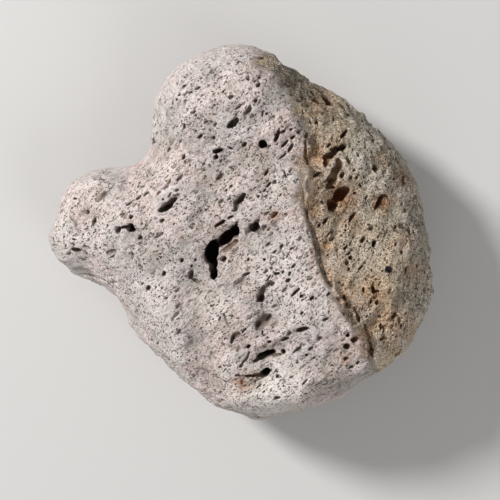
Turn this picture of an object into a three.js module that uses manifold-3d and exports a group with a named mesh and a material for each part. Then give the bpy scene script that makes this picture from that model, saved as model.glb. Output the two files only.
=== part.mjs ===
// A pumice stone, sea-worn and about as wide as a palm, lying on its flattest side.
// Millimetres, +Z up, origin on the table under the middle of the stone. It is one solid.
// From above it has a broad crown with a lobe on the -X side, a waist on each side of that lobe,
// and a worn ridge that drops to a lower, sloping shoulder on the +X side. Gas bubbles, drawn out
// along one flow direction, open on every side; the largest are cut here as cavities.
import * as THREE from "three";
import { mergeVertices } from "three/addons/utils/BufferGeometryUtils.js";
import Module from "manifold-3d";

// Driving dimensions
const CREST = 43; // height of the crown along the ridge
const RIM = 19; // height at which the outline is widest
const TOP_ROUNDING = 15; // how far in from the outline the upper edge is rounded
const LEDGE_ROUNDING = 9; // the same where the -Y end is cut off more squarely
const UNDER_ROUNDING = 24; // the same for the lower edge
const ROUNDNESS = 2.1; // exponent of the rounding: 2 is a quarter of an ellipse
const CROWN_FALL = 0.09; // fall of the crown per millimetre away from the ridge, towards -X
const LOBE_DROP = 5; // how much lower the lobe is than the crown
const STEP = 2.8; // height of the ridge's scarp
const SHOULDER_FALL = 0.24; // fall of the shoulder per millimetre away from the ridge
const STEEP_FALL = 0.8; // what is added to that fall towards the +Y end
const BASE_SINK = 1.7; // how much of the convex underside is worn away to the flat base
const UNDER_RISE = 6.5; // how much the underside rises from the middle to the edge
const DETAIL = 14; // the stone starts as an icosphere of 20 * (DETAIL + 1) ^ 2 triangles
const FLOW_TURN = 38; // direction in which the bubbles are drawn out, in degrees from +X

// The outline seen from above, anticlockwise from the +X side.
const OUTLINE = [
  [50.1, -12.3], [48.2, 0.2], [45.7, 12.4], [40.4, 21.5], [32.9, 30.1], [23.8, 36.6],
  [15.2, 42.1], [7.7, 46.2], [4.3, 48.3], [-3.5, 48.6], [-11.8, 45.7], [-19.9, 39.2],
  [-22.2, 32.4], [-23.4, 22.6], [-24.6, 19.2], [-31.6, 16.3], [-34.7, 16.5], [-42, 14.4],
  [-45.4, 11.9], [-49, 2.5], [-50.1, -1.6], [-47.2, -7.9], [-42, -11.9], [-35.2, -14.3],
  [-32.4, -15.9], [-26.7, -26.3], [-16, -38], [-4.6, -46.1], [6.9, -48.8], [17.3, -46.1],
  [28.2, -41.8], [38.1, -34.6], [45.9, -26.6], [49.3, -18.8],
];

// The ridge, from beyond the +Y edge to beyond the -Y edge.
const RIDGE = [
  [2, 60], [9, 42], [13, 32.5], [14.8, 24], [15.2, 18], [15.9, 11], [16.2, 5], [18.2, -3.5],
  [22, -13], [27.3, -22.4], [32.3, -30.7], [38, -39], [48, -56],
];

// The cavities, as { at, size: [length, width, depth], turn }. at is [x, y] where a vertical
// line meets the stone, from above or from below, or [azimuth, height] where a level one does,
// from the side. turn is the long axis's direction in degrees from +X, where it isn't the flow's.
const ABOVE = [
  { at: [-7, -5], size: [6.5, 3.5, 7], turn: 75 }, // the great cavity, in three lobes
  { at: [-3, -1], size: [7, 3, 7], turn: 35 },
  { at: [-6.5, -10], size: [4, 2.5, 3.5], turn: 85 },
  { at: [3.5, 1], size: [3, 2.5, 3.5], turn: 50 },
  { at: [-18, 6.5], size: [5.5, 2, 3], turn: 35 },
  { at: [-2, 26.5], size: [3.5, 2, 2.5], turn: 30 },
  { at: [0, 8], size: [4, 1.5, 2.5], turn: 45 },
  { at: [5.5, 21.5], size: [2, 2, 3.5] },
  { at: [-5.5, 19.5], size: [3, 2, 3], turn: 15 },
  { at: [-27.5, 1], size: [2.5, 2.5, 3.5] },
  { at: [25, 9.5], size: [4.5, 4, 4.5], turn: 20 },
  { at: [23, 6.5], size: [3.5, 3, 3.5] },
  { at: [35, 7.5], size: [5, 2, 2.5], turn: 60 },
  { at: [25.5, 21], size: [2.5, 2.5, 3] },
  { at: [23.5, 14.5], size: [6, 1.5, 2.5], turn: 60 },
  { at: [22, 33], size: [4, 2, 3], turn: 85 },
  { at: [6.5, -30.5], size: [5.5, 2, 3.5], turn: 20 },
  { at: [6.5, -35], size: [3.5, 2, 3], turn: 40 },
  { at: [15, -24], size: [4, 1.5, 2], turn: 20 },
  { at: [27.5, -26], size: [3, 2, 2.5] },
];
const ROUND_THE_SIDE = [
  { at: [58, 27], size: [4.2, 2.6, 3.2] },
  { at: [20, 17], size: [4.6, 2.2, 2.4] },
  { at: [338, 14], size: [3.8, 2.4, 2.6] },
  { at: [292, 16], size: [5.2, 2.4, 2.8] },
  { at: [248, 18], size: [4.4, 2.6, 3] },
  { at: [186, 15], size: [3.6, 2.2, 2.4] },
  { at: [118, 17], size: [5, 2.4, 3] },
  { at: [82, 13], size: [3.4, 2.2, 2.4] },
];
const BELOW = [
  { at: [27, 11], size: [5.4, 2.8, 3] },
  { at: [-22, -5], size: [4.6, 2.6, 2.6] },
  { at: [9, 31], size: [4.2, 2.4, 2.6] },
  { at: [12, -30], size: [5, 2.6, 2.8] },
];

const wasm = await Module();
wasm.setup();

// A closed three.js geometry as a manifold-3d solid.
function solidFrom(geometry) {
  const bare = geometry.index ? geometry.toNonIndexed() : geometry.clone();
  bare.deleteAttribute("normal");
  bare.deleteAttribute("uv");
  const merged = mergeVertices(bare, 1e-5);
  return new wasm.Manifold(
    new wasm.Mesh({
      numProp: 3,
      vertProperties: merged.attributes.position.array,
      triVerts: new Uint32Array(merged.index.array),
    }),
  );
}

// A manifold-3d solid as a three.js geometry.
function geometryFrom(solid) {
  const mesh = solid.getMesh();
  const geometry = new THREE.BufferGeometry();
  geometry.setAttribute("position", new THREE.BufferAttribute(mesh.vertProperties, 3));
  geometry.setIndex(new THREE.BufferAttribute(mesh.triVerts, 1));
  geometry.computeVertexNormals();
  return geometry;
}

const { smoothstep, degToRad, lerp } = THREE.MathUtils;
const flat = ([x, y]) => new THREE.Vector3(x, y, 0);
const rimPoints = new THREE.CatmullRomCurve3(OUTLINE.map(flat), true).getSpacedPoints(360);
const ridgePoints = new THREE.CatmullRomCurve3(RIDGE.map(flat)).getSpacedPoints(90);

// How far out the outline lies at each angle about the origin.
const rimByAngle = rimPoints
  .slice(0, -1)
  .map((p) => [Math.atan2(p.y, p.x), p.length()])
  .sort((a, b) => a[0] - b[0]);
function rimRadius(angle) {
  const found = rimByAngle.findIndex(([a]) => a > angle);
  const after = found < 0 ? 0 : found;
  const [a1, r1] = rimByAngle[after];
  const [a0, r0] = rimByAngle.at(after - 1);
  const turn = 2 * Math.PI;
  const span = (a1 - a0 + turn) % turn;
  return lerp(r0, r1, ((angle - a0 + turn) % turn) / span);
}

// The closest approach of (x, y) to a chain of points, and the index of the link it is on.
function nearest(x, y, chain) {
  let least = Infinity;
  let link = 0;
  for (let i = 0; i + 1 < chain.length; i++) {
    const [a, b] = [chain[i], chain[i + 1]];
    const [dx, dy] = [b.x - a.x, b.y - a.y];
    const along = ((x - a.x) * dx + (y - a.y) * dy) / (dx * dx + dy * dy);
    const t = THREE.MathUtils.clamp(along, 0, 1);
    const gap = Math.hypot(x - a.x - t * dx, y - a.y - t * dy);
    if (gap < least) [least, link] = [gap, i];
  }
  return [least, link];
}

// Distance from the ridge: positive on its +X side, negative on its -X side.
function pastRidge(x, y) {
  const [gap, i] = nearest(x, y, ridgePoints);
  const [a, b] = [ridgePoints[i], ridgePoints[i + 1]];
  const side = (b.y - a.y) * (x - a.x) - (b.x - a.x) * (y - a.y);
  return side < 0 ? gap : -gap;
}

// Height of the upper surface before its edge is rounded: the crown with its lobe, which also
// falls away past a ledge near the -Y edge.
function crown(x, y) {
  const lobe = LOBE_DROP * smoothstep(-x, 20, 42);
  const ledge = 1.6 * smoothstep(-y - 0.12 * x, 33, 36) * smoothstep(-x, -16, 2);
  return CREST - CROWN_FALL * Math.max(-pastRidge(x, y), 0) - lobe - ledge;
}

// The same for the shoulder beyond the ridge. The scarp is lower towards +Y, where the shoulder
// is steeper.
function shoulder(x, y) {
  const scarp = STEP * (1 - 0.5 * smoothstep(y, -2, 34));
  const fall = SHOULDER_FALL + STEEP_FALL * smoothstep(y, 22, 40);
  return CREST - scarp - fall * Math.max(pastRidge(x, y), 0);
}

function underside(x, y) {
  const out = Math.hypot(x / 50, y / 49);
  return UNDER_RISE * out * out - BASE_SINK;
}

// Gentle swells, as waves that cross at odd angles.
function swell({ x, y, z }) {
  const wide =
    Math.sin(0.17 * x + 0.11 * y + 0.21 * z + 1.3) * Math.sin(0.13 * y - 0.19 * x + 0.1 * z);
  const narrow =
    Math.sin(0.41 * x - 0.23 * y + 0.3 * z) * Math.sin(0.37 * y + 0.29 * x - 0.2 * z + 0.7);
  return 0.75 * wide + 0.3 * narrow;
}

// From 0 on the outline to 1 where the rounding of width `rounding` ends.
function dome(gap, rounding) {
  const short = 1 - Math.min(gap / rounding, 1);
  return (1 - short ** ROUNDNESS) ** (1 / ROUNDNESS);
}

// The whole stone under an upper surface of the given height, with its outline grown by `grow`.
function bodyUnder(height, grow = 1) {
  const geometry = new THREE.IcosahedronGeometry(1, DETAIL);
  geometry.deleteAttribute("normal");
  geometry.deleteAttribute("uv");
  const body = mergeVertices(geometry, 1e-5);
  const place = body.attributes.position;
  const at = new THREE.Vector3();
  for (let i = 0; i < place.count; i++) {
    at.fromBufferAttribute(place, i);
    const out = Math.hypot(at.x, at.y);
    const angle = Math.atan2(at.y, at.x);
    const reach = rimRadius(angle) * Math.min(out, 1);
    const [x, y] = [reach * Math.cos(angle), reach * Math.sin(angle)];
    const [gap] = out > 0.99999 ? [0] : nearest(x, y, rimPoints);
    const rounding = lerp(TOP_ROUNDING, LEDGE_ROUNDING, smoothstep(-y, 12, 36));
    const z =
      at.z > 0
        ? lerp(RIM, height(x, y), dome(gap, rounding))
        : lerp(RIM, underside(x, y), dome(gap, UNDER_ROUNDING));
    place.setXYZ(i, x * grow, y * grow, z);
  }
  body.computeVertexNormals();
  const normal = new THREE.Vector3();
  for (let i = 0; i < place.count; i++) {
    at.fromBufferAttribute(place, i);
    normal.fromBufferAttribute(body.attributes.normal, i);
    at.addScaledVector(normal, swell(at) * (0.25 + 0.75 * Math.abs(normal.z)));
    place.setXYZ(i, at.x, at.y, at.z);
  }
  return solidFrom(body);
}

// Everything above the shoulder, on the +X side of the ridge.
function aboveShoulder() {
  const edge = ridgePoints.map((p) => new THREE.Vector2(p.x, p.y));
  const plan = new THREE.Shape([
    ...edge,
    new THREE.Vector2(80, RIDGE.at(-1)[1]),
    new THREE.Vector2(80, RIDGE[0][1]),
  ]);
  const depth = 80;
  const block = new THREE.ExtrudeGeometry(plan, { depth, bevelEnabled: false });
  return solidFrom(block).subtract(bodyUnder(shoulder, 1.012));
}

// Where a line from `origin` along `direction` first meets the stone, and the outward normal.
function meet(stone, origin, direction) {
  const [hit] = new THREE.Raycaster(origin, direction).intersectObject(stone);
  return { point: hit.point, normal: hit.face.normal };
}

// An ellipsoid set into the surface by most of its depth.
function cavity({ point, normal }, { size: [length, width, depth], turn = FLOW_TURN }) {
  const angle = degToRad(turn);
  const long = new THREE.Vector3(Math.cos(angle), Math.sin(angle), 0).projectOnPlane(normal);
  const across = new THREE.Vector3().crossVectors(normal, long);
  const lean = new THREE.Matrix4().makeBasis(long.normalize(), across.normalize(), normal);
  const ball = new THREE.SphereGeometry(1, 10, 8);
  ball.scale(length / 2, width / 2, depth);
  ball.applyMatrix4(lean);
  return solidFrom(ball.translate(point.x, point.y, point.z));
}

function build() {
  const table = new THREE.BoxGeometry(200, 200, 30).translate(0, 0, -15);
  let stone = bodyUnder(crown).subtract(aboveShoulder()).subtract(solidFrom(table));
  const skin = new THREE.Mesh(
    geometryFrom(stone),
    new THREE.MeshBasicMaterial({ side: THREE.DoubleSide }),
  );
  const down = new THREE.Vector3(0, 0, -1);
  const up = new THREE.Vector3(0, 0, 1);
  for (const hole of ABOVE) {
    const from = new THREE.Vector3(...hole.at, 200);
    stone = stone.subtract(cavity(meet(skin, from, down), hole));
  }
  for (const hole of BELOW) {
    const from = new THREE.Vector3(...hole.at, -200);
    stone = stone.subtract(cavity(meet(skin, from, up), hole));
  }
  for (const hole of ROUND_THE_SIDE) {
    const angle = degToRad(hole.at[0]);
    const inward = new THREE.Vector3(-Math.cos(angle), -Math.sin(angle), 0);
    const from = inward.clone().multiplyScalar(-200).setZ(hole.at[1]);
    stone = stone.subtract(cavity(meet(skin, from, inward), hole));
  }
  return geometryFrom(stone);
}

const geometry = build();
geometry.computeBoundingBox();
const { min, max } = geometry.boundingBox;
geometry.translate(-(min.x + max.x) / 2, -(min.y + max.y) / 2, -min.z);

const pumice = new THREE.MeshStandardMaterial({ color: 0xcbc4bf, roughness: 0.96, metalness: 0 });
const stone = new THREE.Mesh(geometry, pumice);
stone.name = "pumice_stone";

const group = new THREE.Group();
group.add(stone);
export default group;
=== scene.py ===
"""The looks of the pumice stone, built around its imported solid.

The solid is turned into a distance field, given a worn relief, and hollowed by gas bubbles: the
larger ones of the upper face are placed one by one, and the rest are scattered from a fixed seed.
The field is meshed again, and a procedural material colours it. Lengths are in millimetres until
the mesh is made.
"""

import math

import bpy
import numpy as np
import openvdb
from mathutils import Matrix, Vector


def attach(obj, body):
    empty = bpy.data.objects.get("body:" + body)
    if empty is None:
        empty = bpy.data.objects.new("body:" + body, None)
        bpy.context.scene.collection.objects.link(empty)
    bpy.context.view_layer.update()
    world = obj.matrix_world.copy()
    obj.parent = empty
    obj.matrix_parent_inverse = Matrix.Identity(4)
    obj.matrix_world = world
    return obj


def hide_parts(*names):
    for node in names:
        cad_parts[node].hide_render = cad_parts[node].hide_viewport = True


NODE = "pumice_stone"
VOXEL = 0.25
COARSE = 0.5  # step of the field that the solid is first turned into
MARGIN = 3.0  # room left around the solid
MOST_TRIANGLES = 195_000
SEED = 11

# How the field of the solid is smoothed, in passes of blur().
FORM_BLUR = 4  # takes off the solid's facets
SKIN_BLUR = 40  # leaves only the broad form
LEVEL_ROUNDS = 12  # rounds that fill the solid's hollows
LEVEL_BLUR = 8

# Noise of the surface: size of its features and height.
BEND = (5.0, 0.35)  # moves the form sideways
LUMPS = [(9.0, 0.26), (3.2, 0.2)]
GRAINS = (1.5, 0.12)
COARSE_FIBRES = (3.0, 0.17)
FINE_FIBRES = (1.3, 0.085)
UNEVEN_WALLS = [(1.5, 0.2), (0.65, 0.09)]  # moves the walls of the bubbles

# Heights between which something fades in: the part where the solid's hollows are filled, the
# part that is worn, and the part that has the spots of colour.
UPPER_PART = (14, 18)
WORN_PART = (18, 26)
SPOTTED_PART = (12, 24)

SCATTERED = 7000  # places tried for the scattered bubbles
UNEVEN_DIRECTION = 0.16  # how much their direction varies, on unit vectors
SINKS = (-0.2, 0.5)  # how far their centres are sunk, as a share of half their width
SHORTEST = 0.7
LONGEST = 6.0
LONGEST_ABOVE = 1.8  # on the upper face, where longer bubbles are placed one by one
FEWER_LONG = 2.2  # the higher, the rarer long bubbles are
WIDTH_SHARES = (0.32, 0.6)  # width as a share of length
WIDER_ON_SHOULDER = 0.14
WIDTHS = (0.4, 2.8)
DEEPER = 1.3  # depth of the whole ellipsoid as a share of its width
EDGE = 0.09  # how far from its edge a bubble is worn round

# The bubbles in a groove.
GROOVE_STEP = 0.6  # from one to the next, as a share of the groove's width
GROOVE_SHIFT = 0.15  # how far they stray, as a share of the groove's width
GROOVE_LENGTH = 1.7  # as a share of their own width
GROOVE_SWELL = 0.3  # how much their width varies
GROOVE_LEAN = 20  # how much their turn varies, in degrees
GROOVE_GAPS = -0.7  # those that swell less than this are left out

# The direction in which bubbles are drawn out, in each zone: its turn in degrees from +X, a pivot
# for the patterns that follow it, and how far it tilts up from the level, in degrees.
FLOW = 40
SHOULDER_TURN = 14
LOBE_TURN = -26
FACE_FLOW = (FLOW, (0, 0))
SHOULDER_FLOW = (FLOW + SHOULDER_TURN, (24, -5))
LOBE_FLOW = (FLOW + LOBE_TURN, (-30, 0))
FACE_TILT = -6
SHOULDER_TILT = 20

# The ridge, from the -Y end to the +Y end. The light face is on its -X side.
RIDGE_Y = [-56, -39, -31, -27, -22.5, -17.5, -13, -8.5, -4, 1, 6.5, 11.5, 15.5, 22.5, 31, 35, 43, 60]
RIDGE_X = [46, 37, 32.5, 30, 27.5, 24.5, 22.5, 20.5, 19.5, 17.5, 16, 15.5, 16, 15.5, 14.5, 12.5, 8.5, 2]
RIDGE_SLANT = 0.9  # turns a distance along X from the ridge into one across it
SOFT_FROM = (7, 14)  # where the soft stretch of the ridge starts, along Y
SOFT_TO = (34, 40)  # where it ends
SOFT_REACH = 5  # how far from the ridge it is soft
TAN_BORDER = (-1.1, 0.2)  # where the light face goes over into the shoulder, across the ridge
RAGGED = (0.7, 0.4)  # heights of the coarse and the fine noise that make lines ragged
LOBE_FROM = (24, 36)  # where the side lobe begins, towards -X

# Bubbles of the upper face: x, y, length, width, turn in degrees from +X, depth.
GREAT_CAVITY = [
    (-3.5, -1.5, 7.5, 2.8, 37, 7), (-1.5, 0, 3, 3, 35, 6), (-7, -5, 6, 3.6, 80, 8),
    (-6.5, -8, 3, 2.4, 85, 5.5), (-6.5, -10, 4.5, 2.2, 88, 4.5), (-1, 1.5, 2, 0.8, 80, 3),
    (-2.5, -3.5, 5, 1.6, 40, 1.3), (-4, -7, 1.5, 1.4, 40, 2.2), (-5, 2, 3.5, 0.9, 35, 2.2),
    (-2.5, 3.5, 1.6, 0.7, 25, 1.6),
]
CENTRE = [
    (0, 8, 4, 1.5, 45, 2.5), (-1, 6, 2.5, 1.2, 70, 1.6), (-1.5, 5, 1, 0.5, 20, 1.2),
    (3.5, 1, 2.8, 2.4, 50, 3.8), (4, 2.5, 1.8, 1.2, 30, 1.4), (2, 0, 2, 1.4, 60, 1.2),
    (6, 1, 1.6, 1, 30, 0.9), (5, 0, 3, 0.6, 45, 0.7), (8.5, 4, 2.6, 0.6, 45, 1.3),
    (6.5, 14.5, 2, 0.7, 60, 1.5), (7, 11.5, 1.8, 0.7, 50, 1.4), (6, 10, 1.4, 0.5, 60, 1.2),
    (4.5, 8.5, 0.8, 0.7, 45, 1.3), (5, 9.5, 0.7, 0.5, 45, 1.1), (10, 9, 1, 0.4, 60, 1),
    (11, 14, 2.5, 0.4, 105, 1), (-5, 13.5, 2.5, 1.2, 45, 1), (-3.5, 10, 1, 0.6, 30, 1.1),
    (-12, -10.5, 2.5, 1.4, 80, 1.7), (-11, -12, 2, 1, -30, 1.4), (-12, -8.5, 0.9, 0.6, 60, 1.2),
    (-11, -7, 0.9, 0.6, 60, 1.2), (-14.5, -7, 1.1, 0.9, 70, 1.4), (2, -7, 0.8, 0.6, 90, 1.3),
    (6, -7, 0.8, 0.7, 0, 1.3), (1.5, -10.5, 2.2, 0.9, 25, 1.5), (0, -12.5, 3.5, 1.6, 40, 0.6),
    (9, -10.5, 1.8, 0.6, 20, 1.4), (7, -11.5, 2, 0.5, 55, 1), (8, -13, 1.4, 0.8, 45, 1.6),
    (7, -3, 1.4, 0.5, 35, 1), (8.5, -5, 1.2, 0.5, 40, 1), (10, -4, 1.3, 0.4, 75, 1),
    (13, -8.5, 1.8, 0.6, 50, 1.1),
]
TOP_END = [
    (-2, 26.5, 3.6, 2, 32, 2.6), (2, 29.5, 3.2, 1.2, 50, 1.3), (5.5, 21.5, 2.2, 2.1, 0, 3.4),
    (-5.5, 20, 2.6, 1.2, 15, 2.8), (-6, 18.5, 1.2, 1, 80, 2.4), (-2.5, 20.5, 1.4, 0.6, -20, 1.3),
    (1, 21.5, 1.6, 1, 30, 1.8), (-18, 20.5, 1.6, 1.4, 40, 2.2), (-17, 22.5, 2, 1.5, 30, 0.7),
    (-14, 18.5, 1.2, 1, 90, 2), (-15, 22.5, 1.1, 0.6, 40, 1.3), (-10, 23.5, 1.9, 0.8, 35, 1.3),
    (-6.5, 23, 1, 0.9, 0, 1.5), (-17, 32.5, 2.1, 1, 85, 1.7), (-14, 26, 1.6, 0.8, 70, 1.4),
    (-11.5, 29.5, 1.3, 0.8, 50, 0.9), (-8.5, 27, 1.3, 0.6, 20, 1.1), (-10.5, 35.5, 1.6, 0.7, 35, 1.4),
    (-12.5, 34.5, 1.3, 0.6, 25, 1.3), (-7, 39.5, 1.3, 0.4, 20, 1), (-5, 38, 1.6, 0.6, 40, 0.9),
    (4.5, 36, 1.5, 0.9, 45, 1.7), (2, 37.5, 1, 0.8, 45, 1.4), (5.5, 43.5, 1.8, 0.9, 45, 1.7),
    (4, 32, 1, 0.8, 20, 1.2), (-0.5, 30.5, 2.5, 0.5, 42, 1), (5.5, 29, 1.8, 0.4, 80, 1.1),
    (6.5, 29, 0.7, 0.6, 0, 1.2), (9, 23.5, 3.3, 1, 75, 2.2), (11, 21.5, 2.6, 0.8, 42, 1.8),
    (12.5, 20.5, 2.6, 0.9, 60, 1.8), (10.5, 24.5, 1.3, 1, 20, 1.6), (13, 23, 1.6, 0.7, 30, 1.5),
    (12.5, 25, 1, 0.8, 20, 1.3), (14.5, 24.5, 1.3, 1, 30, 1.6), (10.5, 18.5, 2.5, 0.5, 35, 1.1),
]
LOWER_END = [
    (5, -16.5, 2.4, 1.9, 40, 2.7), (5.5, -14.5, 2.4, 1.5, 80, 1.7), (7, -13, 2.5, 1.2, 45, 1.2),
    (13.5, -15, 2.8, 0.8, 45, 1.7), (15, -16, 1.1, 0.7, 30, 1.2), (17.5, -16.5, 1.6, 0.8, 45, 1.4),
    (15, -20, 1, 0.6, 30, 1.2), (-5, -21.5, 1.4, 0.5, 60, 1), (-2, -21, 0.7, 0.6, 0, 1.1),
    (-0.5, -21.5, 1, 0.4, 15, 1), (5.5, -22.5, 5, 2.8, 45, 1), (4.5, -23, 2, 1.6, 50, 2),
    (5.5, -21.5, 0.9, 0.8, 0, 1.3), (7, -21.5, 2.6, 1, 65, 1.5), (5.5, -25, 1.5, 0.4, -75, 1),
    (-2, -26.5, 2.6, 1, 80, 1.8), (-1, -25.5, 2.5, 1.8, 35, 1), (1, -24.5, 2, 0.5, 42, 1.3),
    (2, -28.5, 1.3, 0.9, 40, 1.7), (6.5, -30.5, 5, 2, 20, 3.6), (4, -32, 2, 0.9, 35, 1.7),
    (9, -30.5, 2.5, 0.8, 15, 2), (10.5, -29.5, 1.2, 1.1, 60, 2.2), (6.5, -35, 3.2, 2, 40, 3.2),
    (15, -24, 4, 1.2, 22, 2), (11, -26.5, 2.3, 1.1, 20, 1.6), (14, -29, 3, 0.7, 42, 1.3),
    (16.5, -30.5, 1, 0.8, 20, 1.4), (16, -37, 2.3, 0.6, 40, 1), (21, -21.5, 2, 0.7, 20, 1),
    (9, -41.5, 2, 1, 20, 1.4), (4.5, -38.5, 2.5, 0.4, 40, 0.7), (2.5, -37, 0.9, 0.7, 0, 1.1),
    (0.5, -37.5, 1.6, 1, 90, 0.9), (26.5, -25.5, 1.2, 0.9, 20, 2), (28, -26.5, 1.8, 1.5, 60, 2.3),
    (26, -28.5, 1.7, 1.5, 40, 2.1), (26, -31.5, 1.5, 1.2, 40, 1.4), (29, -32.5, 1.2, 0.8, 70, 1.3),
    (27.5, -33.5, 1.2, 0.8, 0, 1.1), (31, -35.5, 3, 0.6, 35, 1.1),
]
SHOULDER_UP = [
    (25, 9.5, 5, 3.4, 25, 4), (23, 6.5, 3.2, 3, 60, 3.4), (36, 7, 3, 2, 65, 1.3),
    (35, 7.5, 4.8, 1.4, 62, 2.6), (28, 3.5, 3.2, 0.8, 52, 1.7), (25.5, 21, 2.4, 2, 30, 3.1),
    (26, 24.5, 4.3, 1, 48, 1.9), (22, 21.5, 1.8, 0.6, 35, 1.1), (19, 14, 3, 0.9, 25, 1.6),
    (19, 33, 2.6, 2.4, 40, 2.6), (22, 33, 4.5, 3.4, 85, 3.5), (26, 32.5, 2.6, 1.6, -45, 1.8),
    (27.5, 30, 1.2, 0.8, 20, 1.3), (16, 33, 2.6, 0.6, -60, 1.4), (15.5, 29.5, 1.3, 0.6, -75, 1.3),
    (17.5, 27, 1.6, 0.6, -70, 1.4), (19, 27, 1.3, 1, 80, 1.4), (23.5, 28.5, 1.8, 0.5, 65, 1.2),
    (31.5, 28.5, 1.3, 0.6, 50, 1.2), (34, 16, 2.2, 1.7, 70, 2.1), (31.5, 17, 1.1, 0.6, 60, 1.3),
    (29.5, 19, 1.2, 0.6, 85, 1.3), (30, 11.5, 1, 0.6, 85, 1.3), (33, 20, 1.2, 0.6, 80, 1.2),
    (38, 21.5, 1.6, 0.7, -60, 1.2), (38, 14, 1.2, 0.5, 85, 1.2), (41.5, 14, 1.6, 1.1, 85, 1.7),
    (42, 5.5, 1.8, 0.9, 55, 1.6), (44, 6.5, 1.2, 0.6, 85, 1.2), (31.5, 8.5, 1.3, 0.6, 70, 1.3),
    (36.5, 9, 1.1, 0.6, 70, 1.2), (28.5, 9.5, 1, 0.7, 20, 1.2),
]
SHOULDER_LOW = [
    (21, 2.5, 2, 0.9, 50, 1.6), (19.5, 1.5, 1, 0.7, 40, 1.3), (22.5, 0, 4.5, 0.5, 48, 1),
    (26, -4, 1.6, 0.7, 50, 1.4), (27, -5.5, 1.3, 0.6, 50, 1.3), (27.5, -6.5, 1.3, 0.9, 50, 1.4),
    (27, -9.5, 1.3, 0.7, 40, 1.3), (30, -9, 2.2, 0.5, 45, 1), (30.5, -2, 1.7, 1, 60, 1.4),
    (33.5, -3, 2.1, 1, 75, 2), (39, -3, 1.2, 0.8, 60, 1.4), (39, 1, 1.2, 0.7, 60, 1.2),
    (43, -7, 1.5, 0.9, 60, 1.6), (42, -9.5, 2.2, 0.9, 62, 1.8), (43, 0, 1.6, 0.9, 85, 1.2),
    (33, -14.5, 2.4, 1.1, 100, 1.9), (34, -15, 1.4, 0.8, 20, 1.5), (30.5, -14.5, 1.5, 0.7, 85, 1.3),
    (38.5, -21, 2.1, 1, 35, 1.7), (35, -23.5, 2, 0.7, 90, 1.4), (36, -24, 1.2, 0.8, 90, 1.3),
    (40.5, -23.5, 1.3, 0.9, 70, 1.4), (35, -26.5, 1.3, 0.7, 60, 1.2), (42, -26.5, 1.9, 0.6, 60, 1.2),
    (25.5, -16.5, 1.6, 1.1, 60, 1.2),
]
LOBE = [
    (-18, 6.5, 5.5, 2, 35, 2.7), (-27.5, 1, 2.4, 2.2, 60, 3.5), (-30.5, 0.5, 1.5, 1.3, 30, 2.2),
    (-29, 1, 1.8, 0.8, 10, 2), (-27.5, 3.5, 1.3, 0.8, 30, 1.5), (-25, -1.5, 1.3, 1, 30, 1.5),
    (-27, -5.5, 1.1, 0.7, 90, 1.1), (-39, 5, 1.3, 1.2, 0, 1.5), (-37, 2.5, 2.2, 1.2, 72, 1.7),
    (-35.5, 9, 3.6, 2.2, 10, 1.4), (-36, 8, 1.4, 0.7, 0, 1.5), (-33, 11, 1.3, 0.8, 20, 1.2),
    (-42, -4.5, 2.8, 1.3, 5, 2), (-40, -7.5, 3.2, 0.8, -25, 1.3), (-44, -6, 2, 0.6, -15, 1.1),
    (-42.5, -2, 1.1, 0.5, 0, 1), (-32.5, -5, 3, 1.2, 15, 1), (-34, -8, 1.3, 0.5, 0, 1),
    (-33.5, -9.5, 2, 0.6, -5, 1.1), (-19, -10.5, 1.4, 1, 85, 1.7), (-23, -14, 1.4, 1.2, 30, 1.9),
    (-24.5, -13, 1.1, 0.6, 30, 1.2), (-30.5, -12.5, 1, 0.6, -40, 1.2), (-28, 7, 2, 0.6, 35, 1.1),
    (-25.5, 8.5, 1.9, 0.7, 45, 1.1), (-23.5, 9.5, 1.6, 0.7, 40, 1.1), (-17.5, 9, 1.8, 0.6, 50, 1),
    (-18.5, 11, 1.8, 0.8, 40, 1.1), (-15, 13.5, 2.5, 0.9, 50, 1.1), (-20, -1, 2.5, 0.8, 35, 0.7),
]
PLACED = GREAT_CAVITY + CENTRE + TOP_END + LOWER_END + SHOULDER_UP + SHOULDER_LOW + LOBE

# Grooves and cracks: width, depth, and the points that they run through.
GROOVES = [
    (1.5, 2.4, [(25, 21), (23.5, 20), (22, 18.5)]),
    (1.1, 2.0, [(22, 18.5), (21, 16.5)]),
    (1.8, 2.2, [(24.5, 17.5), (24, 15.5)]),
    (1.5, 2.2, [(24, 15.5), (23, 13), (22, 11.5)]),
    (0.45, 0.7, [(-4, -20.5), (-3, -23)]),
    (0.5, 1.0, [(2, -30), (1.5, -31.5), (0, -33.5)]),
    (0.8, 2.0, [(5, -35.5), (1.5, -36)]),
    (0.5, 1.0, [(1.5, -36), (-1, -35.5)]),
    (1.2, 1.3, [(31, -24), (32, -27.5), (33, -30.5)]),
    (0.8, 1.0, [(28.5, -19), (29.5, -22)]),
    (0.7, 1.0, [(16.5, 24), (16, 20), (16.5, 16.5)]),
    (0.6, 0.8, [(-40.5, -11), (-36.5, -12), (-33.5, -13), (-31.5, -13)]),
    (0.5, 0.6, [(-43.5, 4), (-42, 2), (-41, 0)]),
]

# Lines where a sheet of the upper face ends: points along it, from -X to +X, the drop on the -Y
# side of it, and how far from it that drop fades out.
LEDGES = [
    ([-12, -7, -4, -1, 1, 5, 7, 9], [-33.5, -34, -35, -36, -36, -35.5, -34.5, -33.5], 0.8, 6),
    ([2, 6, 10, 13.5, 17.5], [-29, -28, -26.5, -25, -23.5], 0.5, 4),
]

# Worn hollows beside the ridge, and on the rim: x, y, half sizes along X and Y, the share of them
# that is at full depth, and depth.
WORN_SPOTS = [(18.3, 19, 2.6, 6, 0.6, 1.1), (46, -20, 9, 9, 0.7, 0.5)]

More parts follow.
